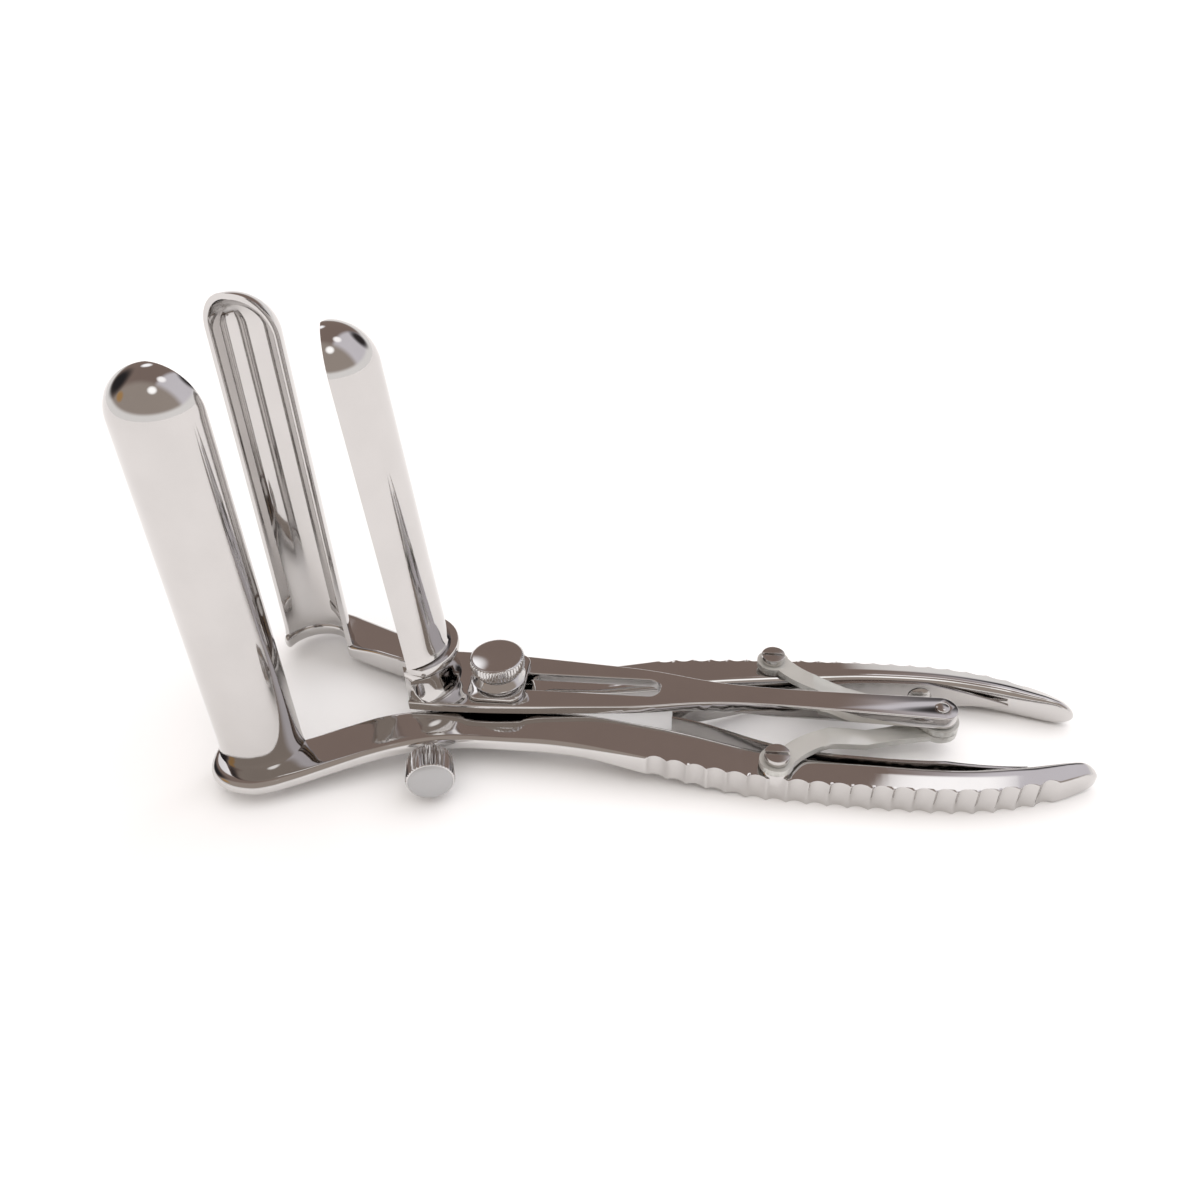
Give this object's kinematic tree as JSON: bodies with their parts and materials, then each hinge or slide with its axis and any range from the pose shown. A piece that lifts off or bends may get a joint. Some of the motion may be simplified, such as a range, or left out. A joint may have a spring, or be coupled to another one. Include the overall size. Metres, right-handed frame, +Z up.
{
  "type": "three-bladed speculum",
  "caption": "Hand-held surgical speculum with spring handles, side blades on lapped levers and a third blade on a slotted, link-driven arm locked by a thumb nut.",
  "frame": {"origin": "on the pivot axis at the level of the resting surface, in the middle of the pivot bolt's lower head", "axes": "+X from the pivot towards the handle tips, +Z up along the blades, Y across, the near lever with the side thumbscrew on -Y"},
  "size_m": [0.2044, 0.0658, 0.1035],
  "materials": {
    "polished_steel": "mirror-polished chromed steel",
    "knurled_chrome": "chromed, straight-knurled rim, satin end face",
    "satin_steel": "satin stainless strip",
    "spring_steel": "polished spring steel strip",
    "screw_steel": "turned stainless"
  },
  "bodies": {
    "pivot": {"pivot_bolt": "screw_steel", "clamp_saddle": "polished_steel"},
    "near_lever": {"near_lever": "polished_steel", "near_blade": "polished_steel", "near_link_screw": "screw_steel", "near_spring": "spring_steel", "near_spring_rivet": "screw_steel"},
    "far_lever": {"far_lever": "polished_steel", "far_blade": "polished_steel", "far_link_screw": "screw_steel", "far_spring": "spring_steel", "far_spring_rivet": "screw_steel"},
    "centre_arm": {"centre_arm": "polished_steel", "centre_bracket": "polished_steel", "centre_blade": "polished_steel", "tail_pin": "screw_steel"},
    "near_link": {"near_link": "satin_steel"},
    "far_link": {"far_link": "satin_steel"},
    "thumb_nut": {"thumb_nut": "knurled_chrome"},
    "side_screw": {"side_screw": "knurled_chrome"}
  },
  "joints": [
    {"name": "near_lever_hinge", "type": "hinge", "parent": "pivot", "child": "near_lever", "pos_m": [0, 0, 0.0075], "axis": [0, 0, 1], "range_deg": [-15, 2.5], "deforming": ["near_spring"]},
    {"name": "far_lever_hinge", "type": "hinge", "parent": "pivot", "child": "far_lever", "pos_m": [0, 0, 0.0034], "axis": [0, 0, 1], "range_deg": [-2.6, 15.1], "deforming": ["far_spring"]},
    {"name": "centre_arm_slide", "type": "slide", "parent": "pivot", "child": "centre_arm", "axis": [1, 0, 0], "range_m": [-0.0183, 0.0032]},
    {"name": "near_link_hinge", "type": "hinge", "parent": "near_lever", "child": "near_link", "pos_m": [0.0664, -0.017, 0.0092], "axis": [0, 0, 1], "range_deg": [-7.3, 43.1]},
    {"name": "far_link_hinge", "type": "hinge", "parent": "far_lever", "child": "far_link", "pos_m": [0.0664, 0.017, 0.0092], "axis": [0, 0, 1], "range_deg": [-43.1, 7.3]},
    {"name": "side_screw_travel", "type": "slide", "parent": "near_lever", "child": "side_screw", "axis": [0.2756, -0.9613, 0], "range_m": [-0.002, 0.0118]},
    {"name": "thumb_nut_turn", "type": "hinge", "parent": "pivot", "child": "thumb_nut", "pos_m": [0, 0, 0.0194], "axis": [0, 0, 1], "continuous": true}
  ],
  "couplings": [
    {"joint": "far_lever_hinge", "follows": "near_lever_hinge", "ratio": -1},
    {"joint": "centre_arm_slide", "follows": "near_lever_hinge", "m_per_rad": 0.06933},
    {"joint": "near_link_hinge", "follows": "near_lever_hinge", "ratio": -2.86},
    {"joint": "far_link_hinge", "follows": "near_lever_hinge", "ratio": 2.86},
    {"joint": "side_screw_travel", "follows": "near_lever_hinge", "m_per_rad": -0.0445}
  ]
}
